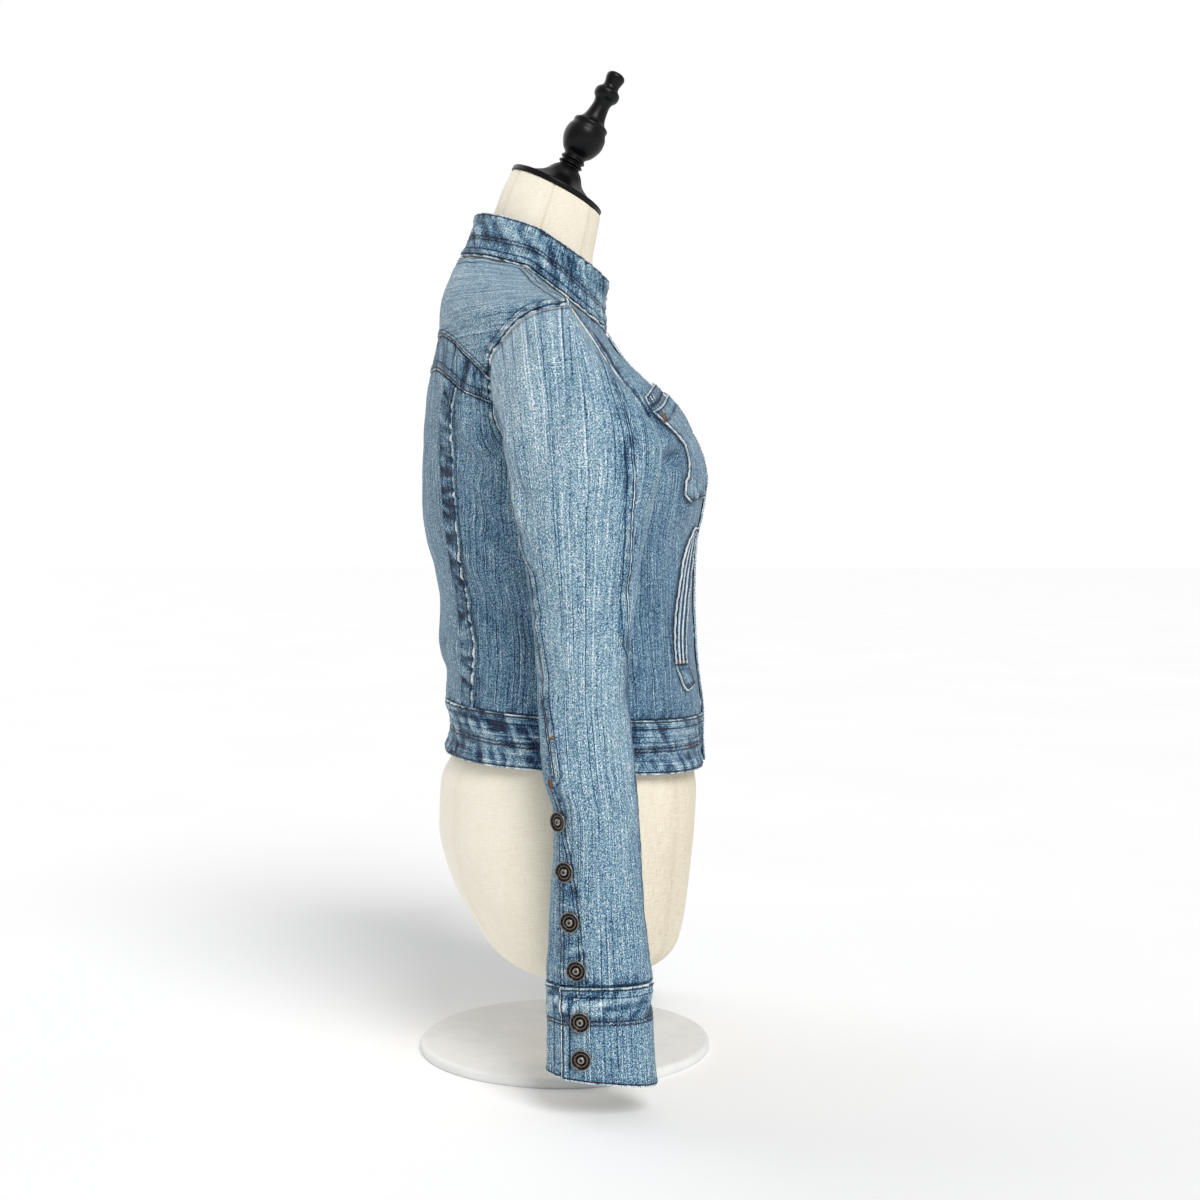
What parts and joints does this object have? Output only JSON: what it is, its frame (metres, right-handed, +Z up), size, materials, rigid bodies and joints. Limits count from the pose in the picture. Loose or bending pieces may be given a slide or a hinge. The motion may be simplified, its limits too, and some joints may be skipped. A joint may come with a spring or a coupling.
{
  "type": "denim jacket on a limbless dress form",
  "caption": "Fitted cropped jacket with a band collar, slanted pockets and long buttoned sleeves, worn by a limbless dress form on a round base.",
  "frame": {"origin": "centre of the underside of the round base the dress form stands on", "axes": "+Z up, -Y the way the jacket's front faces, -X the wearer's right"},
  "size_m": [0.4336, 0.25, 0.8465],
  "materials": {
    "denim": "washed blue cotton denim with worn seams",
    "button_metal": "antique dark metal",
    "linen": "cream linen stretched over the form",
    "dark_wood": "black satin",
    "white_paint": "plain white paint"
  },
  "bodies": {
    "root": {"back_band": "denim", "back_strip_l": "denim", "back_strip_r": "denim", "back_yoke": "denim", "centre_back": "denim", "chest_pocket_l": "denim", "chest_pocket_r": "denim", "collar": "denim", "cuff_l": "denim", "cuff_r": "denim", "front_l": "denim", "front_r": "denim", "hem_band": "denim", "placket": "denim", "pocket_band_l": "denim", "pocket_band_r": "denim", "pocket_tab_l": "denim", "pocket_tab_r": "denim", "side_back_l": "denim", "side_back_r": "denim", "top_sleeve_l": "denim", "top_sleeve_r": "denim", "under_sleeve_l": "denim", "under_sleeve_r": "denim", "vent_placket_l": "denim", "vent_placket_r": "denim", "welt_pocket_l": "denim", "welt_pocket_r": "denim", "vent_button_1_l": "button_metal", "vent_button_2_l": "button_metal", "vent_button_3_l": "button_metal", "vent_button_4_l": "button_metal", "vent_button_1_r": "button_metal", "vent_button_2_r": "button_metal", "vent_button_3_r": "button_metal", "vent_button_4_r": "button_metal", "cuff_button_1_l": "button_metal", "cuff_button_2_l": "button_metal", "cuff_button_1_r": "button_metal", "cuff_button_2_r": "button_metal", "dress_form": "linen", "neck_cap": "dark_wood", "stand_pole": "white_paint", "stand_base": "white_paint"}
  },
  "joints": []
}
